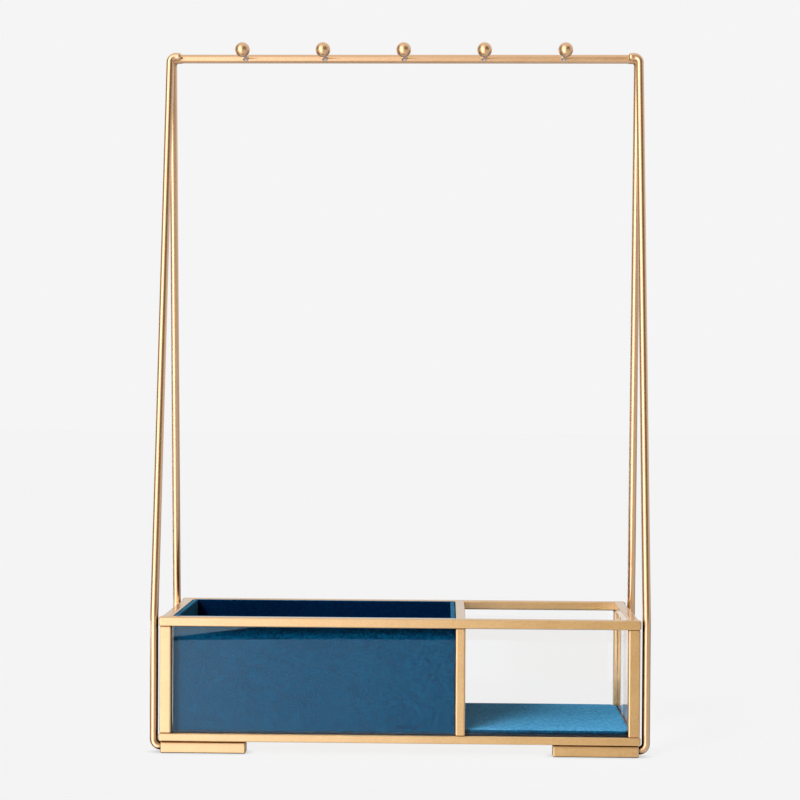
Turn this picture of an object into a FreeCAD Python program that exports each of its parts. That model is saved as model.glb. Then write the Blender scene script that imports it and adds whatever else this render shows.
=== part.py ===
import FreeCAD, Part
import math
import os
import re
import Sketcher

# Necklace holder: a rod with ball-ended pegs on four bent wire legs, which stand at the corners of
# a glass box with a metal frame. A velvet tray and a velvet pad lift out of the two compartments.
# The origin is on the floor, under the middle of the box. The front faces -Y, and +Z is up.

doc = FreeCAD.newDocument("necklace_holder")

# Driving sizes in millimetres. A name that ends in count is a number of copies, and one that ends
# in degrees is an angle.
SIZES = {
    # box frame
    "frame_width": 204.6,
    "frame_depth": 72.0,
    "box_height": 53.0,
    "rail_width": 4.4,
    "side_rail_inset": 0.65,
    "top_rail_height": 4.0,
    "bottom_rail_height": 3.4,
    "post_width": 5.0,
    "post_depth": 5.0,
    "post_recess": 0.2,
    "divider_width": 4.2,
    "divider_x": 26.0,
    "bar_edge_radius": 0.7,
    # glass and base
    "pane_thickness": 1.8,
    "pane_clearance": 0.1,
    "pane_edge_radius": 0.2,
    "groove_depth": 1.0,
    "base_thickness": 1.2,
    # feet
    "foot_length": 36.4,
    "foot_depth": 6.2,
    "foot_height": 5.2,
    "foot_inset": 0.6,
    "foot_recess": 1.0,
    "foot_edge_radius": 0.6,
    "foot_crown_radius": 2.0,
    "socket_depth": 12.0,
    "socket_clearance": 0.05,
    # wire legs
    "wire_diameter": 3.5,
    "leg_gap": 0.8,
    "leg_lean": 1.7,
    "top_tail_length": 4.9,
    "tail_rise": 0.3,
    "tail_end_radius": 1.2,
    "top_bend_radius": 2.5,
    "knee_radius": 40.0,
    "bottom_bend_radius": 3.0,
    "weld_gap": 0.02,
    # hanging rod and hooks
    "rod_height": 301.3,
    "rod_diameter": 3.8,
    "rod_end_radius": 0.8,
    "hook_count": 5,
    "hook_pitch": 35.05,
    "hook_reach": 14.7,
    "hook_tilt_degrees": 5.2,
    "stem_diameter": 1.8,
    "stem_flare_diameter": 3.0,
    "stem_flare_length": 1.2,
    "ball_diameter": 6.4,
    "ball_bore_depth": 3.0,
    "ball_bore_clearance": 0.05,
    "cut_overrun": 1.0,
    # velvet tray
    "lift_clearance": 0.2,
    "tray_clearance": 0.15,
    "tray_wall": 2.2,
    "tray_floor_thickness": 2.0,
    "tray_sink": 0.1,
    "tray_edge_radius": 0.5,
    # velvet pad
    "pad_clearance": 0.2,
    "pad_board_thickness": 1.2,
    "pad_thickness": 3.0,
    "pad_crown": 0.4,
    "pad_side_bulge": 0.5,
    "pad_pull_in": 0.5,
}

# Sizes and places worked out from the driving sizes, each from those above it.
PLACES = {
    "half_width": "frame_width / 2",
    "half_depth": "frame_depth / 2",
    "rim_top": "foot_height + box_height",
    "top_rail_under": "rim_top - top_rail_height",
    "bottom_rail_top": "foot_height + bottom_rail_height",
    "post_height": "top_rail_under - bottom_rail_top",
    "rail_mid_x": "half_width - side_rail_inset - rail_width / 2",
    "rail_mid_y": "half_depth - rail_width / 2",
    "rail_inside_x": "rail_mid_x - rail_width / 2",
    "side_rail_length": "frame_depth - 2 * rail_width",
    # posts are centred on the side rails, and stand a little behind the long rails' faces
    "post_half": "post_width / 2",
    "post_out": "rail_width / 2 - post_recess",
    "post_in": "post_depth - post_out",
    "post_inside_x": "rail_mid_x - post_half",
    "divider_half": "divider_width / 2",
    "divider_left": "divider_x - divider_half",
    "divider_right": "divider_x + divider_half",
    "groove_half": "pane_thickness / 2 + pane_clearance",
    "groove_floor": "post_half - groove_depth",
    "inner_groove_floor": "post_in - groove_depth",
    "divider_groove_floor": "divider_half - groove_depth",
    # compartments between the rails
    "left_width": "divider_left + rail_inside_x",
    "left_mid_x": "(divider_left - rail_inside_x) / 2",
    "right_width": "rail_inside_x - divider_right",
    "right_mid_x": "(divider_right + rail_inside_x) / 2",
    # panes stand on the bottom rails, with their upright edges in the posts' grooves
    "pane_height": "post_height - pane_clearance",
    "pane_end_x": "rail_mid_x - groove_floor - pane_clearance",
    "pane_end_y": "rail_mid_y - inner_groove_floor - pane_clearance",
    "pane_left_end": "divider_x - divider_groove_floor - pane_clearance",
    "pane_right_end": "divider_x + divider_groove_floor + pane_clearance",
    "left_pane_width": "pane_left_end + pane_end_x",
    "left_pane_mid": "(pane_left_end - pane_end_x) / 2",
    "right_pane_width": "pane_end_x - pane_right_end",
    "right_pane_mid": "(pane_end_x + pane_right_end) / 2",
    "base_top": "foot_height + base_thickness",
    # feet and legs
    "foot_end_x": "half_width - foot_inset",
    "foot_mid_x": "foot_end_x - foot_length / 2",
    "foot_mid_y": "half_depth - foot_recess - foot_depth / 2",
    "foot_mid_z": "foot_height / 2",
    "leg_x": "half_width + leg_gap + wire_diameter / 2",
    "leg_top_x": "leg_x - leg_lean",
    "tail_reach": "rod_diameter / 2 + weld_gap + wire_diameter / 2",
    "leg_top_y": "sqrt(tail_reach ^ 2 - tail_rise ^ 2)",
    "leg_top_z": "rod_height + tail_rise",
    "rod_length": "2 * leg_top_x",
    # hooks, along their own axis from the rod's middle
    "saddle_radius": "rod_diameter / 2 + weld_gap",
    "flare_top": "rod_diameter / 2 + stem_flare_length",
    "stem_tip": "hook_reach - ball_diameter / 2 + ball_bore_depth",
    "ball_bore_radius": "stem_diameter / 2 + ball_bore_clearance",
    # velvet tray
    "seat_z": "base_top + lift_clearance",
    "tray_width": "divider_left + post_inside_x - 2 * tray_clearance",
    "tray_mid_x": "(divider_left - post_inside_x) / 2",
    "tray_depth": "side_rail_length - 2 * tray_clearance",
    "tray_height": "rim_top - tray_sink - seat_z",
    "tray_end_wall_length": "tray_depth - 2 * tray_wall",
    "tray_long_wall_y": "(tray_depth - tray_wall) / 2",
    "tray_end_wall_x": "(tray_width - tray_wall) / 2",
    # velvet pad
    "pad_width": "post_inside_x - divider_right - 2 * pad_clearance",
    "pad_mid_x": "(divider_right + post_inside_x) / 2",
    "pad_depth": "side_rail_length - 2 * pad_clearance",
    "cushion_z": "seat_z + pad_board_thickness",
}


def fill_sheet(name, cells):
    """A sheet with one row for each named value: its name, then its value under that alias."""
    sheet = doc.addObject("Spreadsheet::Sheet", name)
    for row, (alias, value) in enumerate(cells.items(), start=1):
        sheet.set(f"A{row}", alias)
        sheet.set(f"B{row}", str(value))
        sheet.setAlias(f"B{row}", alias)
    return sheet


def bound(words):
    """The expression with each named value led by the sheet that holds it."""
    def with_sheet(match):
        name = match.group()
        if name in SIZES:
            return f"sizes.{name}"
        return f"places.{name}" if name in PLACES else name
    return re.sub(r"[a-z_]+", with_sheet, str(words))


sizes = fill_sheet("sizes", SIZES)
places = fill_sheet("places", {name: "=" + bound(words) for name, words in PLACES.items()})
doc.recompute()


def mm(name):
    """A named value as a number, for the shapes that are set point by point."""
    return float((sizes if name in SIZES else places).get(name))


# Helpers for bodies, sketches and features
sub_parts = []


def new_body(label, x, y, z):
    """A body whose own origin is at x, y, z in the part's frame."""
    body = doc.addObject("PartDesign::Body", label)
    body.Label = label
    for axis, words in zip("xyz", (x, y, z)):
        body.setExpression(f"Placement.Base.{axis}", bound(words))
    sub_parts.append(body)
    return body


def new_sketch(body, name, plane):
    sketch = body.newObject("Sketcher::SketchObject", name)
    support = next(item for item in body.Origin.OriginFeatures if item.Role == plane)
    sketch.AttachmentSupport = [(support, "")]
    sketch.MapMode = "FlatFace"
    return sketch


def constrain(sketch, words, *terms):
    """A dimension of the sketch that follows the sheets."""
    index = sketch.addConstraint(Sketcher.Constraint(*terms, 1))
    sketch.setExpression(f"Constraints[{index}]", bound(words))


def draw_outline(sketch, corners):
    """A closed outline of straight lines through corners, given as pairs of expressions."""
    count = len(corners)
    turns = [math.tau * index / count for index in range(count)]
    start = [FreeCAD.Vector(math.cos(turn), math.sin(turn), 0) for turn in turns]
    for index in range(count):
        sketch.addGeometry(Part.LineSegment(start[index], start[(index + 1) % count]))
    for index in range(count):
        sketch.addConstraint(Sketcher.Constraint("Coincident", index, 2, (index + 1) % count, 1))
    for index, (across, up) in enumerate(corners):
        constrain(sketch, across, "DistanceX", -1, 1, index, 1)
        constrain(sketch, up, "DistanceY", -1, 1, index, 1)


def draw_circle(sketch, diameter, up="0"):
    """A circle on the sketch's upright axis, at a height above its origin."""
    sketch.addGeometry(Part.Circle(FreeCAD.Vector(0, 0, 0), FreeCAD.Vector(0, 0, 1), 1))
    sketch.addConstraint(Sketcher.Constraint("PointOnObject", 0, 3, -2))
    constrain(sketch, up, "DistanceY", -1, 1, 0, 3)
    constrain(sketch, diameter, "Diameter", 0)


def add_pad(body, sketch, length):
    pad = body.newObject("PartDesign::Pad", "pad")
    pad.Profile = sketch
    pad.setExpression("Length", bound(length))
    return pad


def round_edges(body, feature, radius, edges=None):
    """Rounds the named edges of a feature, or all of them."""
    rounding = body.newObject("PartDesign::Fillet", "rounding")
    rounding.Base = (feature, edges or [""])
    rounding.UseAllEdges = edges is None
    rounding.setExpression("Radius", bound(radius))
    return rounding


def near(distance):
    return abs(distance) < Part.Precision.confusion()


def edges_where(feature, wanted):
    """The names of the edges of a finished feature for which wanted says yes."""
    return [f"Edge{n}" for n, edge in enumerate(feature.Shape.Edges, start=1) if wanted(edge)]


def slab(label, length, width, height, x, y, z, radius=None):
    """A flat bar or sheet, centred on x, y and standing on z, with its edges rounded."""
    body = new_body(label, x, y, z)
    sketch = new_sketch(body, "outline", "XY_Plane")
    across, along = f"({length}) / 2", f"({width}) / 2"
    signs = ((-1, -1), (1, -1), (1, 1), (-1, 1))
    draw_outline(sketch, [(f"{sx} * {across}", f"{sy} * {along}") for sx, sy in signs])
    pad = add_pad(body, sketch, height)
    if radius:
        round_edges(body, pad, radius)
    return body


def grooved_post(label, corners, half_x, x, y, outwards):
    """An upright bar between the rails, with its corners and both its ends rounded."""
    body = new_body(label, x, y, "bottom_rail_top")
    sketch = new_sketch(body, "section", "XY_Plane")
    draw_outline(sketch, corners)
    pad = add_pad(body, sketch, "post_height")
    doc.recompute()
    faces_y = (outwards * mm("post_out"), -outwards * mm("post_in"))

    def is_outer(edge):
        middle = edge.CenterOfMass
        on_side = near(abs(middle.x) - mm(half_x))
        on_face = any(near(middle.y - place) for place in faces_y)
        at_end = near(middle.z) or near(middle.z - mm("post_height"))
        return (on_side and on_face) or (at_end and (on_side or on_face))

    round_edges(body, pad, "bar_edge_radius", edges_where(pad, is_outer))


FRONT_REAR = (("front", -1), ("rear", 1))
LEFT_RIGHT = (("left", -1), ("right", 1))

# Rails: the front and rear ones run the full width, and the others fit between them
RAIL_LEVELS = (
    ("top", "top_rail_under", "top_rail_height"),
    ("bottom", "foot_height", "bottom_rail_height"),
)
for level, under, height in RAIL_LEVELS:
    for side, sign in FRONT_REAR:
        slab(f"{level}_rail_{side}", "frame_width", "rail_width", height,
             "0", f"{sign} * rail_mid_y", under, "bar_edge_radius")
    for side, sign in LEFT_RIGHT:
        slab(f"{level}_rail_{side}", "rail_width", "side_rail_length", height,
             f"{sign} * rail_mid_x", "0", under, "bar_edge_radius")
    slab(f"{level}_rail_divider", "divider_width", "side_rail_length", height,
         "divider_x", "0", under, "bar_edge_radius")

# Corner posts, each with a groove for the pane along the box and one for the pane across it
CORNER_SECTION = (
    ("-post_half", "-post_out"), ("post_half", "-post_out"),
    ("post_half", "-groove_half"), ("groove_floor", "-groove_half"),
    ("groove_floor", "groove_half"), ("post_half", "groove_half"),
    ("post_half", "post_in"), ("groove_half", "post_in"),
    ("groove_half", "inner_groove_floor"), ("-groove_half", "inner_groove_floor"),
    ("-groove_half", "post_in"), ("-post_half", "post_in"),
)
for end, sign_y in FRONT_REAR:
    for side, sign_x in LEFT_RIGHT:
        section = [(f"{-sign_x} * ({across})", f"{-sign_y} * ({along})")
                   for across, along in CORNER_SECTION]
        grooved_post(f"corner_post_{end}_{side}", section, "post_half",
                     f"{sign_x} * rail_mid_x", f"{sign_y} * rail_mid_y", sign_y)

# Divider posts, each with a groove to the left, one to the right and one inwards
DIVIDER_SECTION = (
    ("-divider_half", "-post_out"), ("divider_half", "-post_out"),
    ("divider_half", "-groove_half"), ("divider_groove_floor", "-groove_half"),
    ("divider_groove_floor", "groove_half"), ("divider_half", "groove_half"),
    ("divider_half", "post_in"), ("groove_half", "post_in"),
    ("groove_half", "inner_groove_floor"), ("-groove_half", "inner_groove_floor"),
    ("-groove_half", "post_in"), ("-divider_half", "post_in"),
    ("-divider_half", "groove_half"), ("-divider_groove_floor", "groove_half"),
    ("-divider_groove_floor", "-groove_half"), ("-divider_half", "-groove_half"),
)
for end, sign_y in FRONT_REAR:
    section = [(across, f"{-sign_y} * ({along})") for across, along in DIVIDER_SECTION]
    grooved_post(f"divider_post_{end}", section, "divider_half",
                 "divider_x", f"{sign_y} * rail_mid_y", sign_y)

# Glass panes, on the bottom rails and in the posts' grooves
for end, sign in FRONT_REAR:
    for side in ("left", "right"):
        slab(f"glass_{end}_{side}", f"{side}_pane_width", "pane_thickness", "pane_height",
             f"{side}_pane_mid", f"{sign} * rail_mid_y", "bottom_rail_top", "pane_edge_radius")
for side, place in (("left", "-rail_mid_x"), ("right", "rail_mid_x"), ("divider", "divider_x")):
    slab(f"glass_{side}", "pane_thickness", "2 * pane_end_y", "pane_height",
         place, "0", "bottom_rail_top", "pane_edge_radius")

# Base plates, soldered between the bottom rails
for side in ("left", "right"):
    slab(f"base_plate_{side}", f"{side}_width", "side_rail_length", "base_thickness",
         f"{side}_mid_x", "0", "foot_height")


# Feet, rounder at the upper outer edge, with a round socket in the outer end for the leg's tail
def foot(label, sign_x, sign_y):
    body = slab(label, "foot_length", "foot_depth", "foot_height",
                f"{sign_x} * foot_mid_x", f"{sign_y} * foot_mid_y", "0")
    doc.recompute()

    def is_crown(edge):
        middle = edge.CenterOfMass
        return near(middle.z - mm("foot_height")) and near(middle.y - sign_y * mm("foot_depth") / 2)

    def is_plain(edge):
        middle = edge.CenterOfMass
        at_side = near(abs(middle.y) - mm("foot_depth") / 2)
        at_level = near(middle.z) or near(middle.z - mm("foot_height"))
        return near(abs(middle.x) - mm("foot_length") / 2) or (at_side and at_level)

    block = body.Tip
    crown = round_edges(body, block, "foot_crown_radius", edges_where(block, is_crown))
    doc.recompute()
    round_edges(body, crown, "foot_edge_radius", edges_where(crown, is_plain))
    doc.recompute()
    solid_volume = body.Shape.Volume
    sketch = new_sketch(body, "socket_mouth", "YZ_Plane")
    sketch.setExpression("AttachmentOffset.Base.z", bound(f"{sign_x} * foot_length / 2"))
    draw_circle(sketch, "wire_diameter + 2 * socket_clearance", "foot_mid_z")
    socket = body.newObject("PartDesign::Pocket", "socket")
    socket.Profile = sketch
    socket.Reversed = sign_x < 0
    socket.setExpression("Length", bound("socket_depth"))
    doc.recompute()
    if body.Shape.Volume >= solid_volume:
        raise RuntimeError(f"{label}: the socket cuts nothing")


for end, sign_y in FRONT_REAR:
    for side, sign_x in LEFT_RIGHT:
        foot(f"foot_{end}_{side}", sign_x, sign_y)


# Wire legs: a tail along the rod, a lean down to the rim, a drop beside the box, a tail in the foot
def rounded_path(points, radii):
    """Straight runs through the points, with a tangent arc at each inner point."""
    edges = []
    start = points[0]
    for before, corner, after, radius in zip(points, points[1:], points[2:], radii):
        into = (corner - before).normalize()
        away = (after - corner).normalize()
        half_turn = into.getAngle(away) / 2
        setback = radius * math.tan(half_turn)
        inward = (away - into).normalize()
        middle = corner + inward * (radius / math.cos(half_turn) - radius)
        first, last = corner - into * setback, corner + away * setback
        edges.append(Part.LineSegment(start, first).toShape())
        edges.append(Part.Arc(first, middle, last).toShape())
        start = last
    edges.append(Part.LineSegment(start, points[-1]).toShape())
    return Part.Wire(edges)


def leg(label, sign_x, sign_y):
    def point(x, y, z):
        return FreeCAD.Vector(sign_x * x, sign_y * y, z)

    tail_x = mm("leg_top_x") - mm("top_tail_length")
    socket_x = mm("foot_end_x") - mm("socket_depth")
    points = [
        point(tail_x, mm("leg_top_y"), mm("leg_top_z")),
        point(mm("leg_top_x"), mm("leg_top_y"), mm("leg_top_z")),
        point(mm("leg_x"), mm("foot_mid_y"), mm("rim_top")),
        point(mm("leg_x"), mm("foot_mid_y"), mm("foot_mid_z")),
        point(socket_x, mm("foot_mid_y"), mm("foot_mid_z")),
    ]
    radii = [mm("top_bend_radius"), mm("knee_radius"), mm("bottom_bend_radius")]
    path = rounded_path(points, radii)
    route = doc.addObject("Part::Feature", f"{label}_route")
    route.Shape = path
    section = doc.addObject("Part::Circle", f"{label}_section")
    section.setExpression("Radius", bound("wire_diameter / 2"))
    section.Placement = FreeCAD.Placement(
        points[0], FreeCAD.Rotation(FreeCAD.Vector(0, 0, 1), points[1] - points[0]))
    wire = doc.addObject("Part::Sweep", f"{label}_wire")
    wire.Sections = [section]
    wire.Spine = (route, [f"Edge{n}" for n in range(1, len(path.Edges) + 1)])
    wire.Solid = True
    doc.recompute()
    whole = math.pi * (mm("wire_diameter") / 2) ** 2 * path.Length
    ratio = wire.Shape.Volume / whole
    print(f"{label}: {path.Length:.1f} mm of wire, {ratio:.4f} of section times length")
    tail_end = [n for n, edge in enumerate(wire.Shape.Edges, start=1)
                if near((edge.CenterOfMass - points[0]).Length)]
    finished = doc.addObject("Part::Fillet", label)
    finished.Label = label
    finished.Base = wire
    finished.Edges = [(n, mm("tail_end_radius"), mm("tail_end_radius")) for n in tail_end]
    doc.recompute()
    if finished.Shape.Volume >= wire.Shape.Volume:
        raise RuntimeError(f"{label}: its tail's end isn't rounded")
    sub_parts.append(finished)


for end, sign_y in FRONT_REAR:
    for side, sign_x in LEFT_RIGHT:
        leg(f"leg_{end}_{side}", sign_x, sign_y)

# Hanging rod, between the tails of the legs
rod = new_body("hanging_rod", "-leg_top_x", "0", "rod_height")
rod.Placement.Rotation = FreeCAD.Rotation(FreeCAD.Vector(0, 0, 1), FreeCAD.Vector(1, 0, 0))
rod_section = new_sketch(rod, "section", "XY_Plane")
draw_circle(rod_section, "rod_diameter")
round_edges(rod, add_pad(rod, rod_section, "rod_length"), "rod_end_radius")


# Hooks: each is a stem with a flared root that saddles the rod, and a ball drilled for the stem
def hook_body(label, number):
    """A body on the rod's axis whose own +Z leans forwards and up along the hook."""
    place = f"({number} - (hook_count + 1) / 2) * hook_pitch"
    body = new_body(f"{label}_{number}", place, "0", "rod_height")
    body.Placement.Rotation = FreeCAD.Rotation(FreeCAD.Vector(1, 0, 0), 1)
    body.setExpression("Placement.Rotation.Angle", bound("90 - hook_tilt_degrees"))
    return body


STEM_SECTION = (
    ("0", "0"), ("stem_flare_diameter / 2", "0"), ("stem_flare_diameter / 2", "rod_diameter / 2"),
    ("stem_diameter / 2", "flare_top"), ("stem_diameter / 2", "stem_tip"), ("0", "stem_tip"),
)


def hook_stem(number):
    body = hook_body("hook_stem", number)
    sketch = new_sketch(body, "section", "XZ_Plane")
    draw_outline(sketch, STEM_SECTION)
    turned = body.newObject("PartDesign::Revolution", "turned")
    turned.Profile = sketch
    turned.ReferenceAxis = (sketch, ["V_Axis"])
    doc.recompute()
    turned_volume = body.Shape.Volume
    rod_line = new_sketch(body, "rod_line", "YZ_Plane")
    draw_circle(rod_line, "2 * saddle_radius")
    saddle = body.newObject("PartDesign::Pocket", "saddle")
    saddle.Profile = rod_line
    saddle.SideType = "Symmetric"
    saddle.Type = "ThroughAll"
    doc.recompute()
    if body.Shape.Volume >= turned_volume:
        raise RuntimeError(f"hook_stem_{number}: the saddle cuts nothing")


def hook_ball(number):
    body = hook_body("hook_ball", number)
    ball = body.newObject("PartDesign::AdditiveSphere", "ball")
    ball.setExpression("Radius", bound("ball_diameter / 2"))
    ball.setExpression("Placement.Base.z", bound("hook_reach"))
    bore = body.newObject("PartDesign::SubtractiveCylinder", "bore")
    bore.setExpression("Radius", bound("ball_bore_radius"))
    bore.setExpression("Height", bound("ball_bore_depth + cut_overrun"))
    bore.setExpression("Placement.Base.z", bound("stem_tip - ball_bore_depth - cut_overrun"))


for number in range(1, int(mm("hook_count")) + 1):
    hook_stem(number)
    hook_ball(number)

# Velvet tray: boards wrapped in velvet, with the end walls between the long ones
slab("tray_floor", "tray_width - 2 * tray_wall", "tray_end_wall_length", "tray_floor_thickness",
     "tray_mid_x", "0", "seat_z")
for side, sign in FRONT_REAR:
    slab(f"tray_wall_{side}", "tray_width", "tray_wall", "tray_height",
         "tray_mid_x", f"{sign} * tray_long_wall_y", "seat_z", "tray_edge_radius")
for side, sign in LEFT_RIGHT:
    slab(f"tray_wall_{side}", "tray_wall", "tray_end_wall_length", "tray_height",
         f"tray_mid_x + {sign} * tray_end_wall_x", "0", "seat_z", "tray_edge_radius")

# Velvet pad: a board under a thin cushion with a crown, round sides and edges that pull in
slab("pad_board", "pad_width", "pad_depth", "pad_board_thickness", "pad_mid_x", "0", "seat_z")

PAD_STATION_SHARES = (-1, -0.6, 0, 0.6, 1)


def cushion_section(share):
    """The cushion's outline across its depth, at a share of its half width from the middle."""
    swell = 1 - share ** 2
    half = mm("pad_depth") / 2 - mm("pad_pull_in") * swell
    foot_half = half - mm("pad_side_bulge")
    side = mm("pad_thickness")
    across = share * mm("pad_width") / 2

    def point(y, z):
        return FreeCAD.Vector(across, y, z)

    base_left, base_right = point(-foot_half, 0), point(foot_half, 0)
    top_left, top_right = point(-foot_half, side), point(foot_half, side)
    crown = point(0, side + mm("pad_crown") * (1 + swell) / 2)
    return Part.Wire([
        Part.LineSegment(base_left, base_right).toShape(),
        Part.Arc(base_right, point(half, side / 2), top_right).toShape(),
        Part.Arc(top_right, crown, top_left).toShape(),
        Part.Arc(top_left, point(-half, side / 2), base_left).toShape(),
    ])


cushion = doc.addObject("Part::Feature", "pad_cushion")
cushion.Label = "pad_cushion"
cushion.Shape = Part.makeLoft([cushion_section(share) for share in PAD_STATION_SHARES], True)
cushion.Placement = FreeCAD.Placement(
    FreeCAD.Vector(mm("pad_mid_x"), 0, mm("cushion_z")), FreeCAD.Rotation())
sub_parts.append(cushion)

# Check the document, then write one file for each sub-part
doc.recompute()
for item in doc.Objects:
    if "Invalid" in item.State or "Error" in item.State:
        raise RuntimeError(f"{item.Label} did not rebuild: {item.State}")
for item in sub_parts:
    if item.Shape.isNull() or not item.Shape.isValid() or len(item.Shape.Solids) != 1:
        raise RuntimeError(f"{item.Label} is not one valid solid")

os.makedirs("parts", exist_ok=True)
for item in sub_parts:
    item.Shape.exportStep(f"parts/{item.Label}.step")
print(f"wrote {len(sub_parts)} sub-parts")
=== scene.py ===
# %% [markdown]
# # A necklace holder in satin brass, glass and velvet
#
# The holder has a rod with ball-ended pegs on bent wire legs, and a low glass box between the legs.
# A velvet tray stands in the left compartment, and a velvet pad lies in the right one.
# The metal and the glass come from the CAD frame and get their finish here. The soft pieces are
# modelled here, and each takes the place of a plain CAD solid.

import math

import bmesh
import bpy
from mathutils import Matrix, Vector


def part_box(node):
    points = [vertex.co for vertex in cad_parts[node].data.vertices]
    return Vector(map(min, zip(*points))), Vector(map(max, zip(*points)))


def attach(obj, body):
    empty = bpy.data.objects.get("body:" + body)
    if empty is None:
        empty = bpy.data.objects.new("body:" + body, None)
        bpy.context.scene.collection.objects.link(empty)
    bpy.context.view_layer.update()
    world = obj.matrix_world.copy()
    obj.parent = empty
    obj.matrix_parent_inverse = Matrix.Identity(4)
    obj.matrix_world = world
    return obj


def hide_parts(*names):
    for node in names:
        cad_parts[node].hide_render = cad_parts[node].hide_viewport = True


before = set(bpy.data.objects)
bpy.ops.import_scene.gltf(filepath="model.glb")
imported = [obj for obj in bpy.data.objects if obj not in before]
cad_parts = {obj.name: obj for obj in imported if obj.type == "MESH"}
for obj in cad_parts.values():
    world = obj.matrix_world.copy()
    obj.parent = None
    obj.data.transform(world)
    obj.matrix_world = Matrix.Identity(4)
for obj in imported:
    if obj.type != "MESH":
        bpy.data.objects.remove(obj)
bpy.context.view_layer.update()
MM = 0.001

# %% [markdown]
# ## Camera
#
# The picture was taken a little above the box, nearly straight from the front, with a long lens.
# A long lens keeps the rod and the box in proportion. The camera's place and lens were fitted to
# the edges of the box, the rod and the legs, so they are set here as they came out of that fit.

# %% Place the camera
IMAGE_SIDE_PX = 800
FOCAL_LENGTH_PX = 1780.5
OPTICAL_CENTRE_BELOW_MIDDLE_PX = 18.5
CAMERA_PLACE = Vector((19.65, -788.33, 154.13)) * MM
CAMERA_YAW, CAMERA_PITCH, CAMERA_ROLL = (math.radians(turn) for turn in (1.51, -0.84, 0.31))

lens = bpy.data.cameras.new("camera")
lens.lens = lens.sensor_width * FOCAL_LENGTH_PX / IMAGE_SIDE_PX
lens.shift_y = OPTICAL_CENTRE_BELOW_MIDDLE_PX / IMAGE_SIDE_PX
lens.clip_start = 10 * MM
camera = bpy.data.objects.new("camera", lens)
bpy.context.scene.collection.objects.link(camera)
camera.matrix_world = (
    Matrix.Translation(CAMERA_PLACE)
    @ Matrix.Rotation(CAMERA_YAW, 4, "Z")
    @ Matrix.Rotation(math.radians(90) + CAMERA_PITCH, 4, "X")
    @ Matrix.Rotation(CAMERA_ROLL, 4, "Z")
)
bpy.context.scene.camera = camera
bpy.context.scene.view_settings.view_transform = "Standard"
print(f"lens {lens.lens:.1f} mm, camera {-CAMERA_PLACE.y / MM:.0f} mm in front of the origin")

# %% [markdown]
# ## Small helpers for node trees
#
# A material or a world is a tree of nodes. A few short functions keep the cells below readable. They
# add a node with its settings, join an output to an input, work out a sum between sockets, start a
# finish with its shader, and add a noise or a ramp of two tones.


# %% Node helpers
def add_node(tree, kind, inputs=None, **settings):
    """A new node with its settings and the values of its unlinked inputs."""
    node = tree.nodes.new(kind)
    for name, value in settings.items():
        setattr(node, name, value)
    for name, value in (inputs or {}).items():
        node.inputs[name].default_value = value
    return node


def join(tree, source, output, target, socket):
    tree.links.new(source.outputs[output], target.inputs[socket])


def calculate(tree, operation, first, second=None):
    """A math node's result, where each term is a socket or a number."""
    node = add_node(tree, "ShaderNodeMath", operation=operation)
    for socket, term in zip(node.inputs, (first, second)):
        if isinstance(term, bpy.types.NodeSocket):
            tree.links.new(term, socket)
        elif term is not None:
            socket.default_value = term
    return node.outputs[0]


def new_finish(name):
    """A new material, its node tree and the shader in it."""
    finish = bpy.data.materials.new(name)
    finish.use_nodes = True
    return finish, finish.node_tree, finish.node_tree.nodes["Principled BSDF"]


def add_noise(tree, per_mm, detail, roughness):
    """A noise that is fixed to the piece, as fine as its number per millimetre says."""
    place = add_node(tree, "ShaderNodeTexCoord")
    noise = add_node(tree, "ShaderNodeTexNoise",
                     inputs={"Scale": per_mm / MM, "Detail": detail, "Roughness": roughness})
    join(tree, place, "Object", noise, "Vector")
    return noise


def add_tones(tree, dark, light):
    """A ramp between two tones, where each is a position on the ramp and a colour."""
    tones = add_node(tree, "ShaderNodeValToRGB")
    for stop, (position, colour) in zip(tones.color_ramp.elements, (dark, light)):
        stop.position = position
        stop.color = (*colour, 1)
    return tones


# %% [markdown]
# ## Studio light
#
# Metal looks like what it reflects, so the light is drawn as a ring around the object: a white
# sweep behind it, a wide soft panel to the left of the camera, and a dark flag to the right. That
# gives round wire its bright streak on one side and its brown edge on the other. Below the horizon
# a second, softer ring stands for the floor as the metal sees it. The panes mirror that floor up to
# its front edge, past which it is dark, and then the foot of the panel in their upper left corner.
# The sweep is plain white wherever it is seen, straight or through glass. What a pane mirrors from
# the camera's side is the ring instead. Cloth gets a part of the ring's light, because the lamp
# below gives it the rest.

# %% World
PAPER_WHITE = 0.913
LIGHT_GAIN = 3.0
CLOTH_SHARE = 0.45
# Azimuth in degrees from the camera's side, to the right, and the share of LIGHT_GAIN there
HIGH_RING_SHARES = (
    (-180, 0.31), (-128, 0.29), (-110, 0.08), (-84, 0.06), (-64, 0.40), (-48, 1.0), (-24, 0.72),
    (-10, 0.70), (-4, 0.52), (0, 0.32), (4, 0.12), (14, 0.07), (30, 0.05), (58, 0.06), (72, 0.21),
    (96, 0.29), (180, 0.31),
)
LOW_RING_SHARES = (
    (-180, 0.12), (-125, 0.08), (-108, 0.06), (-85, 0.06), (-60, 0.45), (-42, 0.95), (-20, 0.76),
    (-9, 0.76), (-4, 0.49), (0, 0.34), (3, 0.11), (7, 0.07), (12, 0.26), (60, 0.25), (90, 0.22),
    (115, 0.14), (140, 0.08), (180, 0.12),
)
OVERHEAD_SHARE = 0.32
UNDER_SHARE = 0.29
# The floor's front edge and the panel's foot, as heights of the direction they are seen in
FLOOR_EDGE, FLOOR_EDGE_END, BEYOND_FLOOR_SHARE = -0.1372, -0.125, 0.01
PANEL_FOOT, PANEL_FOOT_SLOPE, PANEL_FOOT_SHARE = -0.11975, -0.1089, 1.25
EDGE_BLUR = 0.001
# Heights between which the low ring turns into the high one, and the rings into roof and ground
HORIZON = -0.10, 0.02
ROOF = 0.5, 0.9
GROUND = -0.95, -0.6
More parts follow.
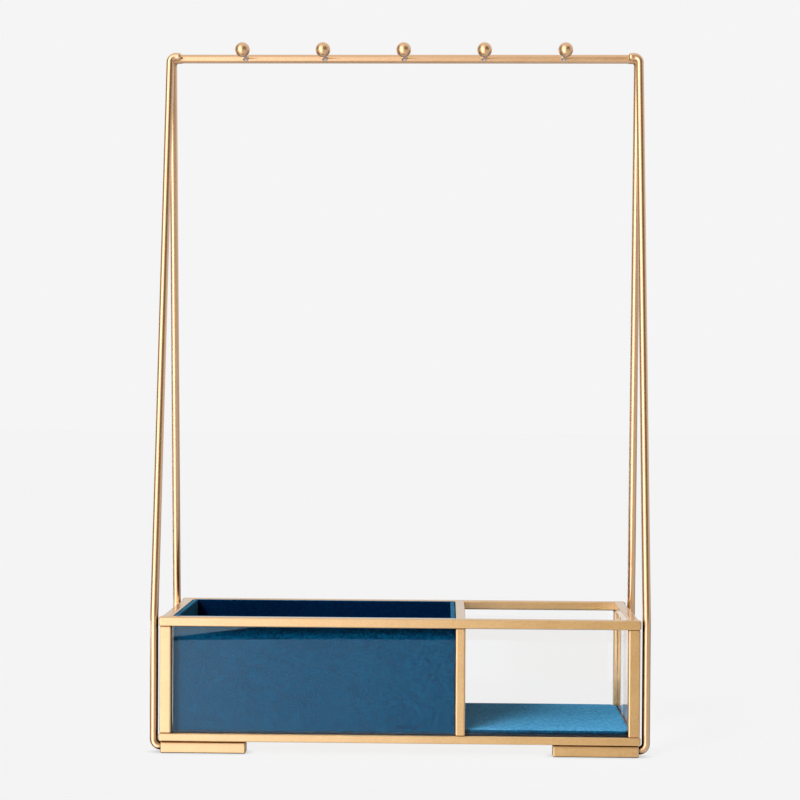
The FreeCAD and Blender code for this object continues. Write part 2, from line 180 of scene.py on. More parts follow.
# A path with fewer bounces than this came straight through the glass
HALF_A_BOUNCE = 0.5


def plain_to_rays(tree, *kinds):
    """1 for the kinds of ray that are named, and 0 for all others."""
    path = add_node(tree, "ShaderNodeLightPath")
    found = path.outputs[kinds[0]]
    for kind in kinds[1:]:
        found = calculate(tree, "MAXIMUM", found, path.outputs[kind])
    return found


def light_ring(tree, turn, shares):
    """A ramp round the object, from a turn that is 0.5 on the camera's side."""
    ring = add_node(tree, "ShaderNodeValToRGB")
    ring.color_ramp.interpolation = "EASE"
    ramp = ring.color_ramp.elements
    while len(ramp) < len(shares):
        ramp.new(0.5)
    for stop, (degrees, share) in zip(ramp, shares):
        stop.position = degrees / 360 + 0.5
        stop.color = (share, share, share, 1)
    tree.links.new(turn, ring.inputs["Fac"])
    return ring.outputs["Color"]


def fade(tree, height, low, high, below, above):
    """One level below a height, another above it, and a soft change between low and high."""
    step = add_node(tree, "ShaderNodeMapRange", interpolation_type="SMOOTHSTEP",
                    inputs={"From Min": low, "From Max": high})
    tree.links.new(height, step.inputs["Value"])
    mixed = add_node(tree, "ShaderNodeMix", data_type="FLOAT")
    join(tree, step, "Result", mixed, "Factor")
    for level, socket in ((below, mixed.inputs["A"]), (above, mixed.inputs["B"])):
        if isinstance(level, bpy.types.NodeSocket):
            tree.links.new(level, socket)
        else:
            socket.default_value = level
    return mixed.outputs["Result"]


def studio_world():
    world = bpy.data.worlds.new("studio")
    world.use_nodes = True
    tree = world.node_tree
    tree.nodes.clear()
    direction = add_node(tree, "ShaderNodeTexCoord")
    parts = add_node(tree, "ShaderNodeSeparateXYZ")
    join(tree, direction, "Generated", parts, "Vector")
    height = parts.outputs["Z"]
    towards_camera = calculate(tree, "MULTIPLY", parts.outputs["Y"], -1)
    azimuth = calculate(tree, "ARCTAN2", parts.outputs["X"], towards_camera)
    turn = calculate(tree, "MULTIPLY_ADD", azimuth, 1 / math.tau)
    turn.node.inputs[2].default_value = 0.5
    high_ring = light_ring(tree, turn, HIGH_RING_SHARES)
    low_ring = light_ring(tree, turn, LOW_RING_SHARES)
    above_foot = calculate(tree, "MULTIPLY_ADD", azimuth, PANEL_FOOT_SLOPE)
    tree.links.new(height, above_foot.node.inputs[2])
    beyond = fade(tree, above_foot, PANEL_FOOT, PANEL_FOOT + EDGE_BLUR,
                  BEYOND_FLOOR_SHARE, PANEL_FOOT_SHARE)
    edged = fade(tree, height, FLOOR_EDGE - EDGE_BLUR, FLOOR_EDGE, low_ring, beyond)
    low = fade(tree, height, FLOOR_EDGE_END, FLOOR_EDGE_END + 2 * EDGE_BLUR, edged, low_ring)
    ring = fade(tree, height, *HORIZON, low, high_ring)
    roofed = fade(tree, height, *ROOF, ring, OVERHEAD_SHARE)
    level = fade(tree, height, *GROUND, UNDER_SHARE, roofed)
    gain = calculate(tree, "MULTIPLY_ADD", plain_to_rays(tree, "Is Glossy Ray"),
                     LIGHT_GAIN * (1 - CLOTH_SHARE))
    gain.node.inputs[2].default_value = LIGHT_GAIN * CLOTH_SHARE
    light = add_node(tree, "ShaderNodeBackground")
    tree.links.new(calculate(tree, "MULTIPLY", level, gain), light.inputs["Strength"])

    sweep = add_node(tree, "ShaderNodeBackground",
                     inputs={"Color": (PAPER_WHITE, PAPER_WHITE, PAPER_WHITE, 1)})
    either = add_node(tree, "ShaderNodeMixShader")
    path = add_node(tree, "ShaderNodeLightPath")
    bounces = calculate(tree, "ADD", path.outputs["Glossy Depth"], path.outputs["Diffuse Depth"])
    straight = calculate(tree, "LESS_THAN", bounces, HALF_A_BOUNCE)
    behind = calculate(tree, "GREATER_THAN", parts.outputs["Y"], 0)
    through = calculate(tree, "MULTIPLY", plain_to_rays(tree, "Is Transmission Ray"),
                        calculate(tree, "MAXIMUM", straight, behind))
    seen = calculate(tree, "MAXIMUM", plain_to_rays(tree, "Is Camera Ray"), through)
    tree.links.new(seen, either.inputs[0])
    tree.links.new(light.outputs[0], either.inputs[1])
    tree.links.new(sweep.outputs[0], either.inputs[2])
    output = add_node(tree, "ShaderNodeOutputWorld")
    join(tree, either, 0, output, "Surface")
    return world


bpy.context.scene.world = studio_world()
print(f"light rings of {len(HIGH_RING_SHARES)} and {len(LOW_RING_SHARES)} stops")

# %% [markdown]
# ## Lamp
#
# One lamp with a wide disc stands to the left of the camera. It throws the rail's shadow on the
# velvet and the tray's shadow on the pad. The metal doesn't mirror it, because its streaks come
# from the wide panel in the ring.

# %% Lamp
LAMP_AZIMUTH, LAMP_HEIGHT = math.radians(-35), math.radians(35)
LAMP_DISC, LAMP_STRENGTH = math.radians(20), 3.3

lamp = bpy.data.objects.new("lamp", bpy.data.lights.new("lamp", "SUN"))
lamp.data.energy = LAMP_STRENGTH
lamp.data.angle = LAMP_DISC
lamp.rotation_euler = (math.radians(90) - LAMP_HEIGHT, 0, LAMP_AZIMUTH)
lamp.visible_glossy = False
bpy.context.scene.collection.objects.link(lamp)
print(f"lamp of strength {LAMP_STRENGTH} at {math.degrees(LAMP_HEIGHT):.0f} degrees")

# %% [markdown]
# ## Floor
#
# The floor is a pale sheet. Most of what the eye sees of it is its own even white, so that it
# melts into the sweep, and a small share is a matt surface that takes the object's soft shadow.
# Close under the feet a painted contact shadow darkens it. Metal and glass
# look through it to the low ring, which gives them a floor with light and dark.

# %% Floor
FLOOR_REACH = 6.0
FLOOR_WHITE = 0.915
FLOOR_MATT_SHARE = 0.07
FLOOR_COLOUR = 0.80
CONTACT_SHADOW_REACH = 4 * MM
CONTACT_SHADOW_SHARE = 0.5


def floor_finish():
    finish = bpy.data.materials.new("pale_floor")
    finish.use_nodes = True
    tree = finish.node_tree
    tree.nodes.clear()
    matt = add_node(tree, "ShaderNodeBsdfDiffuse",
                    inputs={"Color": (FLOOR_COLOUR, FLOOR_COLOUR, FLOOR_COLOUR, 1)})
    # Painted contact shadow: the floor's white is darker where the feet are close
    contact_shadow = add_node(tree, "ShaderNodeAmbientOcclusion", samples=8,
                       inputs={"Distance": CONTACT_SHADOW_REACH})
    open_share = calculate(tree, "MULTIPLY_ADD", contact_shadow.outputs["AO"], FLOOR_WHITE * CONTACT_SHADOW_SHARE)
    open_share.node.inputs[2].default_value = FLOOR_WHITE * (1 - CONTACT_SHADOW_SHARE)
    even = add_node(tree, "ShaderNodeEmission")
    tree.links.new(open_share, even.inputs["Strength"])
    clear = add_node(tree, "ShaderNodeBsdfTransparent")
    seen = calculate(tree, "MULTIPLY", plain_to_rays(tree, "Is Camera Ray", "Is Transmission Ray"),
                     1 - FLOOR_MATT_SHARE)
    pale = add_node(tree, "ShaderNodeMixShader")
    tree.links.new(seen, pale.inputs[0])
    tree.links.new(matt.outputs[0], pale.inputs[1])
    tree.links.new(even.outputs[0], pale.inputs[2])
    either = add_node(tree, "ShaderNodeMixShader")
    tree.links.new(plain_to_rays(tree, "Is Glossy Ray"), either.inputs[0])
    tree.links.new(pale.outputs[0], either.inputs[1])
    tree.links.new(clear.outputs[0], either.inputs[2])
    output = add_node(tree, "ShaderNodeOutputMaterial")
    join(tree, either, 0, output, "Surface")
    return finish


bpy.ops.object.select_all(action="DESELECT")
bpy.ops.mesh.primitive_plane_add(size=2 * FLOOR_REACH, location=(0, 0, 0))
floor = bpy.context.object
floor.name = "floor"
floor.data.materials.append(floor_finish())
print(f"floor of {2 * FLOOR_REACH:.0f} m, matt share {FLOOR_MATT_SHARE}")

# %% [markdown]
# ## Satin brass
#
# All the metal is steel with a brass-coloured plating under clear lacquer. The flat bars were
# blasted before plating, so they are satin and show a fine grain. The drawn wire and the turned
# balls are smoother and mirror more, and the rod has the balls' finish. The pegs are paler, a
# painted reflection of the white sweep in their colour. One function makes all four: grain is a
# fine noise that varies the roughness and a shallow bump, a slower noise lets the gold vary a
# little along a bar, and the lacquer is the shader's coat. In the narrow gaps between wire and
# frame, and in the seams between two bars, the finish is painted dark where another piece is
# close, as painted shade.

# %% Brass finishes
BAR_GOLD = (0.90, 0.54, 0.20), (0.82, 0.46, 0.145)
WIRE_GOLD = (0.95, 0.50, 0.16), (0.90, 0.44, 0.12)
# Painted reflection: the pegs' pale colour stands for the white sweep they mirror
PEG_REFLECTION_GOLD = (0.92, 0.80, 0.72), (0.80, 0.66, 0.56)
LIGHT_GOLD_AT, DARK_GOLD_AT = 0.62, 0.34
GRAIN_PER_MM, TONE_PER_MM = 1.1, 0.09
SLOW_TONE_SHARE = 0.4
# The noise levels at which the grain is at its smoothest and at its roughest
GRAIN_LEVELS = 0.3, 0.7
# The colour of the painted shade in narrow gaps
GAP_SHADE = (0.010, 0.006, 0.004, 1)
# How far off another piece still counts as close, and the open shares of full and of no painted
# shade
BAR_GAP = 2.0 * MM, 0.30, 0.60
WIRE_GAP = 3.0 * MM, 0.50, 0.90
# A mix node keeps sockets for numbers, vectors and colours, and these are the ones for colours
COLOUR_A, COLOUR_B, COLOUR_RESULT = 6, 7, 2


def brass(name, golds, roughness, grain, grain_height, lacquer_roughness, lacquer_index,
          gap=BAR_GAP):
    """Plated metal under lacquer, from a light and a dark gold, with painted shade in narrow gaps.
    """
    finish, tree, shader = new_finish(name)
    shader.inputs["Specular IOR Level"].default_value = 0
    shader.inputs["Coat Roughness"].default_value = lacquer_roughness
    shader.inputs["Coat IOR"].default_value = lacquer_index
    fine = add_noise(tree, GRAIN_PER_MM, detail=2, roughness=0.6)
    slow = add_noise(tree, TONE_PER_MM, detail=3, roughness=0.55)
    tone = add_node(tree, "ShaderNodeMix", data_type="FLOAT", inputs={"Factor": SLOW_TONE_SHARE})
    join(tree, fine, "Fac", tone, "A")
    join(tree, slow, "Fac", tone, "B")
    light_gold, dark_gold = golds
    gold = add_tones(tree, (DARK_GOLD_AT, dark_gold), (LIGHT_GOLD_AT, light_gold))
    join(tree, tone, "Result", gold, "Fac")
    reach, dark_below, clear_above = gap
    # Painted shade: colour, metal and coat fade to a dark colour where another piece is close
    near = add_node(tree, "ShaderNodeAmbientOcclusion", samples=8, inputs={"Distance": reach})
    open_share = add_node(tree, "ShaderNodeMapRange",
                          inputs={"From Min": dark_below, "From Max": clear_above})
    join(tree, near, "AO", open_share, "Value")
    shaded_gold = add_node(tree, "ShaderNodeMix", data_type="RGBA", inputs={COLOUR_A: GAP_SHADE})
    join(tree, gold, "Color", shaded_gold, COLOUR_B)
    join(tree, open_share, "Result", shaded_gold, "Factor")
    join(tree, shaded_gold, COLOUR_RESULT, shader, "Base Color")
    join(tree, open_share, "Result", shader, "Metallic")
    join(tree, open_share, "Result", shader, "Coat Weight")
    smoothest, roughest = GRAIN_LEVELS
    rough = add_node(tree, "ShaderNodeMapRange",
                     inputs={"From Min": smoothest, "From Max": roughest,
                             "To Min": roughness - grain, "To Max": roughness + grain})
    join(tree, fine, "Fac", rough, "Value")
    join(tree, rough, "Result", shader, "Roughness")
    bump = add_node(tree, "ShaderNodeBump", inputs={"Strength": 1, "Distance": grain_height})
    join(tree, fine, "Fac", bump, "Height")
    join(tree, bump, "Normal", shader, "Normal")
    return finish


def dress(finish, *starts):
    """Gives the finish to each CAD node whose name starts with one of the words."""
    found = [node for name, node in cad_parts.items() if name.startswith(starts)]
    for node in found:
        node.data.materials.clear()
        node.data.materials.append(finish)
    print(f"{finish.name} on {len(found)} nodes")


bar_brass = brass("satin_bar_brass", BAR_GOLD, roughness=0.40, grain=0.06,
                  grain_height=0.004 * MM, lacquer_roughness=0.16, lacquer_index=2.3)
wire_brass = brass("drawn_wire_brass", WIRE_GOLD, roughness=0.33, grain=0.04,
                   grain_height=0.002 * MM, lacquer_roughness=0.14, lacquer_index=3.0,
                   gap=WIRE_GAP)
ball_brass = brass("turned_ball_brass", WIRE_GOLD, roughness=0.34, grain=0.05,
                   grain_height=0.003 * MM, lacquer_roughness=0.22, lacquer_index=2.8)
peg_reflection_brass = brass("peg_painted_reflection_brass", PEG_REFLECTION_GOLD, roughness=0.25, grain=0.05,
                       grain_height=0.004 * MM, lacquer_roughness=0.2, lacquer_index=2.3)
dress(bar_brass, "top_rail", "bottom_rail", "corner_post", "divider_post", "foot", "base_plate")
dress(wire_brass, "leg")
dress(ball_brass, "hook_ball", "hanging_rod")
dress(peg_reflection_brass, "hook_stem")

# %% [markdown]
# ## Glass
#
# The panes are thin clear glass with a faint blue gloss. A solid pane bends and mirrors light by
# itself, but it would also block the lamp from the velvet behind it, so shadow rays pass through it
# as through a clear film. Real panes have smears, so a slow noise moves the roughness a little.

# %% Glass finish
GLASS_COLOUR = (0.99, 0.995, 1.0, 1)
GLASS_GLOSS = (0.39, 0.56, 0.72, 1)
GLASS_INDEX = 1.45
SMEARS_PER_MM = 0.05
SMEAR_LEVELS = {"From Min": 0.4, "From Max": 0.8, "To Min": 0.0, "To Max": 0.02}


def clear_glass():
    finish, tree, shader = new_finish("clear_pane_glass")
    shader.inputs["Base Color"].default_value = GLASS_COLOUR
    shader.inputs["Transmission Weight"].default_value = 1
    shader.inputs["IOR"].default_value = GLASS_INDEX
    shader.inputs["Specular Tint"].default_value = GLASS_GLOSS
    smear = add_noise(tree, SMEARS_PER_MM, detail=4, roughness=0.6)
    rough = add_node(tree, "ShaderNodeMapRange", inputs=SMEAR_LEVELS)
    join(tree, smear, "Fac", rough, "Value")
    join(tree, rough, "Result", shader, "Roughness")
    film = add_node(tree, "ShaderNodeBsdfTransparent", inputs={"Color": GLASS_COLOUR})
    either = add_node(tree, "ShaderNodeMixShader")
    tree.links.new(plain_to_rays(tree, "Is Shadow Ray"), either.inputs[0])
    tree.links.new(shader.outputs[0], either.inputs[1])
    tree.links.new(film.outputs[0], either.inputs[2])
    join(tree, either, 0, tree.nodes["Material Output"], "Surface")
    return finish


dress(clear_glass(), "glass")

# %% [markdown]
# ## Velvet and board
#
# Velvet is a short upright pile. Seen head on it is deep and dark, and seen along the surface the
# fibre tips catch the light, which is what the shader's sheen is for. Tufts that lean this way and
# that show as a fine speckle, which is a cell pattern with a chance tone in each cell, and places
# where the whole pile leans another way show as soft clouds.

# %% Velvet finish
PILE_SHEEN = (0.03, 0.55, 1.0, 1)
PILE_SHEEN_ROUGHNESS = 0.25
PILE_ROUGHNESS = 0.95
TUFTS_PER_MM, CLOUDS_PER_MM = 1.3, 0.05
CLOUD_SHARE = 0.06
ROOTS_AT, MIDDLE_AT, TIPS_AT = 0.05, 0.5, 0.95
TUFT_BUMP = {"Strength": 0.2, "Distance": 0.1 * MM}


def velvet(name, deep, middle, tip, sheen):
    """A pile with dark roots, a middle colour and light tips, and a sheen along the surface."""
    finish, tree, shader = new_finish(name)
    shader.inputs["Roughness"].default_value = PILE_ROUGHNESS
    shader.inputs["Specular IOR Level"].default_value = 0
    shader.inputs["Sheen Weight"].default_value = sheen
    shader.inputs["Sheen Roughness"].default_value = PILE_SHEEN_ROUGHNESS
    shader.inputs["Sheen Tint"].default_value = PILE_SHEEN
    place = add_node(tree, "ShaderNodeTexCoord")
    tufts = add_node(tree, "ShaderNodeTexVoronoi", inputs={"Scale": TUFTS_PER_MM / MM})
    join(tree, place, "Object", tufts, "Vector")
    clouds = add_noise(tree, CLOUDS_PER_MM, detail=3, roughness=0.5)
    lean = add_node(tree, "ShaderNodeSeparateColor")
    join(tree, tufts, "Color", lean, "Color")
    tone = add_node(tree, "ShaderNodeMix", data_type="FLOAT", inputs={"Factor": CLOUD_SHARE})
    join(tree, lean, "Red", tone, "A")
    join(tree, clouds, "Fac", tone, "B")
    pile = add_tones(tree, (ROOTS_AT, deep), (TIPS_AT, tip))
    pile.color_ramp.elements.new(MIDDLE_AT).color = (*middle, 1)
    join(tree, tone, "Result", pile, "Fac")
    join(tree, pile, "Color", shader, "Base Color")
    bump = add_node(tree, "ShaderNodeBump", inputs=TUFT_BUMP)
    join(tree, tufts, "Distance", bump, "Height")
    join(tree, bump, "Normal", shader, "Normal")
    return finish


tray_velvet = velvet("tray_velvet", (0.0003, 0.015, 0.039), (0.0005, 0.028, 0.067),
                     (0.0010, 0.044, 0.098), sheen=0.02)
shaded_lining_velvet = velvet("shaded_lining_velvet", (0.0003, 0.008, 0.035), (0.0004, 0.011, 0.041),
                       (0.0008, 0.014, 0.048), sheen=0.04)
pad_velvet = velvet("pad_velvet", (0.022, 0.120, 0.22), (0.036, 0.160, 0.28),
                    (0.058, 0.205, 0.345), sheen=0.09)
print("three velvets: the tray's outside, its lining and the pad")

# %% Board finish
BOARD_ROUGHNESS = 0.9
PULP_PER_MM = 0.9
DARK_PULP = 0.3, (0.02, 0.025, 0.03)
LIGHT_PULP = 0.75, (0.06, 0.065, 0.075)
PULP_BUMP = {"Strength": 0.5, "Distance": 0.05 * MM}


def backing_board():
    finish, tree, shader = new_finish("backing_board")
    shader.inputs["Roughness"].default_value = BOARD_ROUGHNESS
    pulp = add_noise(tree, PULP_PER_MM, detail=6, roughness=0.7)
    shade = add_tones(tree, DARK_PULP, LIGHT_PULP)
    join(tree, pulp, "Fac", shade, "Fac")
    join(tree, shade, "Color", shader, "Base Color")
    bump = add_node(tree, "ShaderNodeBump", inputs=PULP_BUMP)
    join(tree, pulp, "Fac", bump, "Height")
    join(tree, bump, "Normal", shader, "Normal")
    return finish


dress(backing_board(), "pad_board")

# %% [markdown]
# ## Modelling helpers
#
# An operator acts on everything that is selected, so each piece starts from an empty selection.
# A finished piece has its place in its mesh and its object at the origin.


# %% Modelling helpers
def select_only(piece):
    if bpy.context.mode != "OBJECT":
        bpy.ops.object.mode_set(mode="OBJECT")
    bpy.ops.object.select_all(action="DESELECT")
    piece.select_set(True)
    bpy.context.view_layer.objects.active = piece


def start_block(name, low, high):
    """A cube stretched between two corners, in edit mode with all of it selected."""
    bpy.ops.object.select_all(action="DESELECT")
    bpy.ops.mesh.primitive_cube_add(size=1, location=(low + high) / 2, scale=high - low)
    piece = bpy.context.object
    piece.name = name
    bpy.ops.object.transform_apply(location=True, rotation=True, scale=True)
    bpy.ops.object.mode_set(mode="EDIT")
    bpy.ops.mesh.select_all(action="SELECT")
    return piece


def select_edges(piece, wanted):
    """Selects the edges, in edit mode, for which wanted says yes."""
    bpy.ops.mesh.select_mode(type="EDGE")
    bpy.ops.mesh.select_all(action="DESELECT")
    shape = bmesh.from_edit_mesh(piece.data)
    for edge in shape.edges:
        edge.select_set(wanted(edge))
    shape.select_flush_mode()
    bmesh.update_edit_mesh(piece.data)


STRAIGHT_SHARE = 0.99


def runs_along(axis, least):
    """A test for edges that run along an axis and are longer than least."""
    def wanted(edge):
        run = edge.verts[1].co - edge.verts[0].co
        return abs(run[axis]) > least and abs(run[axis]) > STRAIGHT_SHARE * run.length
    return wanted


def apply_modifiers(piece):
    select_only(piece)
    for name in [modifier.name for modifier in piece.modifiers]:
        bpy.ops.object.modifier_apply(modifier=name)


def ripple(piece, name, cell, depth):
    """Presses the surface in by a gentle noise with cells of one size, down to a depth."""
    clouds = bpy.data.textures.new(f"{name}_{piece.name}", "CLOUDS")
    clouds.noise_scale = cell
    wave = piece.modifiers.new(name, "DISPLACE")
    wave.texture = clouds
    wave.texture_coords = "LOCAL"
    wave.strength = depth
    wave.mid_level = 1.0
    apply_modifiers(piece)


def triangle_count(piece):
    return sum(len(face.vertices) - 2 for face in piece.data.polygons)


# %% [markdown]
# ## Velvet tray
#
# The tray is a lining of stiff boards, each wrapped in velvet. A wrapped board has soft round
# edges, and its pile is never quite even, so each one is a block with bevelled edges, cut into
# small faces and moved by a gentle noise. Five boards that meet at their edges give the tray its
# seams in the corners. The faces that look into the tray get the lining's much darker velvet, as
# painted shade inside the tray. The rim and the left board's inner face get the pad's lighter
# velvet, as painted light: a painted sheen along the rim and painted light on the left inner face.

# %% Wrapped boards
WRAP_ROUND = 0.45 * MM
WRAP_CELL = 1.6 * MM
WRAP_SEGMENTS = 5
PILE_WAVE, PILE_WAVE_CELL = 0.10 * MM, 4 * MM
# A face looks inwards or upwards if its normal has at least this share that way
INWARD_SHARE, UPWARD_SHARE = 0.7, 0.5
# Places in a board's list of materials
SHADED_LINING, PAINTED_LIGHT_PILE = 1, 2
INWARDS = {
    "tray_floor": (0, 0, 1),
    "tray_wall_front": (0, 1, 0),
    "tray_wall_rear": (0, -1, 0),
    "tray_wall_left": (1, 0, 0),
    "tray_wall_right": (-1, 0, 0),
}


def wrapped_board(node, inwards):
    low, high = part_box(node)
    piece = start_block("velvet_" + node, low, high)
    bpy.ops.mesh.bevel(offset=WRAP_ROUND, segments=WRAP_SEGMENTS, affect="EDGES")
    for axis in range(3):
        cuts = round((high - low)[axis] / WRAP_CELL) - 1
        if cuts > 0:
            select_edges(piece, runs_along(axis, 2 * WRAP_CELL))
            bpy.ops.mesh.subdivide(number_cuts=cuts)
    bpy.ops.mesh.select_all(action="SELECT")
    bpy.ops.object.mode_set(mode="OBJECT")
    ripple(piece, "pile", PILE_WAVE_CELL, PILE_WAVE)
    bpy.ops.object.shade_smooth()
    for finish in (tray_velvet, shaded_lining_velvet, pad_velvet):
        piece.data.materials.append(finish)
    # Painted shade on faces that look into the tray, painted light on the rim and the left inner
    # face
    for face in piece.data.polygons:
        if face.normal.dot(Vector(inwards)) > INWARD_SHARE:
            face.material_index = PAINTED_LIGHT_PILE if node == "tray_wall_left" else SHADED_LINING
        elif face.normal.z > UPWARD_SHARE:
            face.material_index = PAINTED_LIGHT_PILE
    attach(piece, "velvet_tray")
    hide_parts(node)
    return piece


for node, inwards in INWARDS.items():
    board = wrapped_board(node, inwards)
    print(f"{board.name}: {triangle_count(board)} triangles")

# %% [markdown]
# ## Shade beads
#
# A thin dark bead along the foot of each pane, on the bottom rails, is painted shade: it stands for
# the black shadow line at the foot of the glass. Each bead fills the step between a pane and the
# inner edge of its rail. It is a thin block whose upper inner edge is rounded, and that wavers a
# little.

# %% Beads
BEAD_HEIGHT = 0.75 * MM
BEAD_GAP = 0.05 * MM
BEAD_WAVER, BEAD_WAVER_CELL = 0.05 * MM, 6 * MM
BEAD_ROUND, BEAD_SEGMENTS = 0.6 * BEAD_HEIGHT, 4
BEAD_CUTS = 24
BEAD_SHARP_ANGLE = math.radians(40)
BEAD_TONE_PER_MM = 0.5
DARK_BEAD_SHADE = 0, (0.002, 0.003, 0.004)
LIGHT_BEAD_SHADE = 1, (0.016, 0.018, 0.022)
BEAD_GLOSS = 0.2
BEAD_ROUGHNESS = {"To Min": 0.45, "To Max": 0.75}


def shade_bead_finish():
    finish, tree, shader = new_finish("painted_shade_bead")
    shader.inputs["Specular IOR Level"].default_value = BEAD_GLOSS
    smears = add_noise(tree, BEAD_TONE_PER_MM, detail=3, roughness=0.6)
    shade = add_tones(tree, DARK_BEAD_SHADE, LIGHT_BEAD_SHADE)
    join(tree, smears, "Fac", shade, "Fac")
    join(tree, shade, "Color", shader, "Base Color")
    rough = add_node(tree, "ShaderNodeMapRange", inputs=BEAD_ROUGHNESS)
    join(tree, smears, "Fac", rough, "Value")
    join(tree, rough, "Result", shader, "Roughness")
    return finish


def shade_bead(name, low, high, inwards):
    piece = start_block("shade_bead_" + name, low, high)
    along = 0 if high.x - low.x > high.y - low.y else 1
    middle = (low + high) / 2

    def is_upper_inner(edge):
        centre = (edge.verts[0].co + edge.verts[1].co) / 2
        is_inner = (centre - middle).dot(inwards) > 0
        return runs_along(along, 0)(edge) and centre.z > middle.z and is_inner

    select_edges(piece, is_upper_inner)
    bpy.ops.mesh.bevel(offset=BEAD_ROUND, segments=BEAD_SEGMENTS, affect="EDGES")
    select_edges(piece, runs_along(along, 2 * BEAD_HEIGHT))
    bpy.ops.mesh.subdivide(number_cuts=BEAD_CUTS)
    bpy.ops.object.mode_set(mode="OBJECT")
    ripple(piece, "waver", BEAD_WAVER_CELL, BEAD_WAVER)
    bpy.ops.object.shade_smooth_by_angle(angle=BEAD_SHARP_ANGLE)
    piece.data.materials.append(bead_shade)
    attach(piece, "stand")
    return piece


# Painted shade: dark beads stand for the shadow line at the foot of each pane
bead_shade = shade_bead_finish()
rail_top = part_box("bottom_rail_front")[1].z
side_gap = Vector((BEAD_GAP, BEAD_GAP, 0))
for compartment, first_x, last_x in (
    ("left", "left", "divider"),
    ("right", "divider", "right"),
):
    first_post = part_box("corner_post_front_left" if first_x == "left" else "divider_post_front")
    last_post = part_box("divider_post_front" if last_x == "divider" else "corner_post_front_right")
    inner_left, inner_right = first_post[1].x, last_post[0].x
    for end, sign in (("front", -1), ("rear", 1)):
        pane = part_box(f"glass_{end}_{compartment}")
        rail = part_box(f"bottom_rail_{end}")
        ys = sorted((pane[1].y if sign < 0 else pane[0].y, rail[1].y if sign < 0 else rail[0].y))
        bead = shade_bead(f"{compartment}_{end}",
                            Vector((inner_left, ys[0], rail_top)) + side_gap,
                            Vector((inner_right, ys[1], rail_top + BEAD_HEIGHT)) - side_gap,
                            Vector((0, -sign, 0)))
        print(f"{bead.name}: {bead.dimensions.x / MM:.1f} mm long")
    inner_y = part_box("corner_post_rear_left")[0].y
    for end, wall, sign in (("start", first_x, 1), ("stop", last_x, -1)):
        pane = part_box(f"glass_{wall}")
        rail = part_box(f"bottom_rail_{wall}")
        xs = sorted((pane[1].x if sign > 0 else pane[0].x, rail[1].x if sign > 0 else rail[0].x))
        bead = shade_bead(f"{compartment}_{end}",
                            Vector((xs[0], -inner_y, rail_top)) + side_gap,
                            Vector((xs[1], inner_y, rail_top + BEAD_HEIGHT)) - side_gap,
                            Vector((sign, 0, 0)))
        print(f"{bead.name}: {bead.dimensions.y / MM:.1f} mm long")

# %% [markdown]
# ## Velvet pad
#
# The pad is a thin sheet of foam in a velvet cover, glued to a board. It is cut a little large, so
# its soft edge reaches out over the beads to the glass. Simulated cloth gives it the round edges
# and the slightly uneven top: three blocks, the core and two that make its lip, are meshed into
# one, blown up from inside with the underside held, and kept within a small travel.

# %% Cushion blocks
LIP_UNDER = 0.85 * MM
LIP_DROP = 0.12 * MM
GLASS_GAP = 0.40 * MM
POST_GAP = 0.35 * MM
CORE_INSET = 0.1 * MM

low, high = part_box("pad_cushion")
glass_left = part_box("glass_divider")[1].x + GLASS_GAP
glass_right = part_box("glass_right")[0].x - GLASS_GAP
glass_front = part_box("glass_front_right")[1].y + GLASS_GAP
posts_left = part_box("divider_post_front")[1].x + POST_GAP
posts_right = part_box("corner_post_front_right")[0].x - POST_GAP
posts_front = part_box("corner_post_front_right")[1].y + POST_GAP
lip_low, lip_high = rail_top + LIP_UNDER, high.z - LIP_DROP
cushion = start_block("velvet_cushion", low + Vector((CORE_INSET, CORE_INSET, 0)),
                      Vector((high.x - CORE_INSET, high.y - CORE_INSET, lip_high)))
bpy.ops.object.mode_set(mode="OBJECT")
lips = []
for name, corner, far in (
    ("lip_long", (posts_left, glass_front), (posts_right, -glass_front)),
    ("lip_wide", (glass_left, posts_front), (glass_right, -posts_front)),
):
    lips.append(start_block(name, Vector((*corner, lip_low)), Vector((*far, lip_high))))
    bpy.ops.object.mode_set(mode="OBJECT")
select_only(cushion)
for lip in lips:
    lip.select_set(True)
bpy.ops.object.join()
print(f"cushion blocks {cushion.dimensions.x / MM:.1f} by {cushion.dimensions.y / MM:.1f} mm")

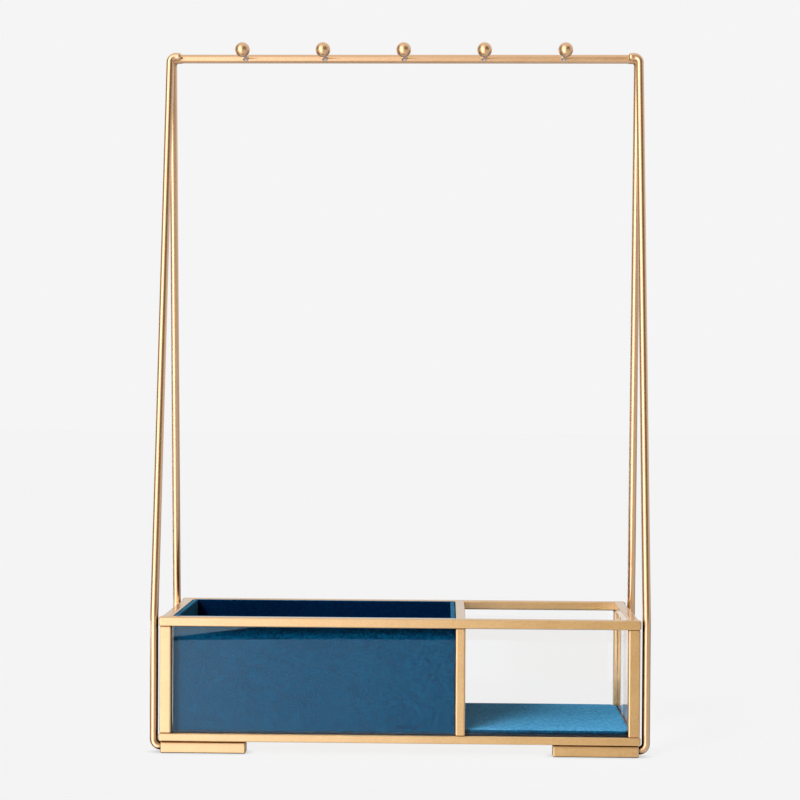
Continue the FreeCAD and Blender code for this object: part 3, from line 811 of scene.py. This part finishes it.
# %% Cushion cloth
PAD_VOXEL = 0.55 * MM
PAD_TRAVEL = 0.18 * MM
PAD_SMOOTHING, PAD_SMOOTHINGS = 0.5, 3
PAD_PRESSURE = 4
CLOTH_FRAMES, CLOTH_QUALITY = 20, 5
# A face whose normal has less than this share upwards is on the pad's side or underside,
# and gets the tray's darker velvet as painted shade
TOP_SHARE = 0.35


def swell(piece, held_below):
    """Blows the piece up as cloth with its underside held, and keeps each point near its start."""
    start = [point.co.copy() for point in piece.data.vertices]
    held = piece.vertex_groups.new(name="held")
    held.add([point.index for point in piece.data.vertices if point.co.z < held_below], 1, "REPLACE")
    cloth = piece.modifiers.new("cloth", "CLOTH")
    cloth.settings.use_pressure = True
    cloth.settings.uniform_pressure_force = PAD_PRESSURE
    cloth.settings.vertex_group_mass = "held"
    cloth.settings.effector_weights.gravity = 0
    cloth.settings.quality = CLOTH_QUALITY
    for number in range(1, CLOTH_FRAMES + 1):
        bpy.context.scene.frame_set(number)
    apply_modifiers(piece)
    bpy.context.scene.frame_set(1)
    farthest = 0
    for point, home in zip(piece.data.vertices, start):
        travel = point.co - home
        farthest = max(farthest, travel.length)
        if travel.length > PAD_TRAVEL:
            point.co = home + travel.normalized() * PAD_TRAVEL
    return farthest


voxels = cushion.modifiers.new("voxels", "REMESH")
voxels.mode = "VOXEL"
voxels.voxel_size = PAD_VOXEL
soften = cushion.modifiers.new("soften", "SMOOTH")
soften.factor, soften.iterations = PAD_SMOOTHING, PAD_SMOOTHINGS
apply_modifiers(cushion)
print(f"cushion swelled by up to {swell(cushion, lip_low) / MM:.2f} mm")
bpy.ops.object.shade_smooth()
cushion.data.materials.append(pad_velvet)
cushion.data.materials.append(tray_velvet)
# Painted shade: the pad's sides and underside take the tray's darker velvet
for face in cushion.data.polygons:
    face.material_index = int(face.normal.z < TOP_SHARE)
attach(cushion, "velvet_pad")
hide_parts("pad_cushion")
print(f"cushion: {triangle_count(cushion)} triangles, {cushion.dimensions.z / MM:.2f} mm high")
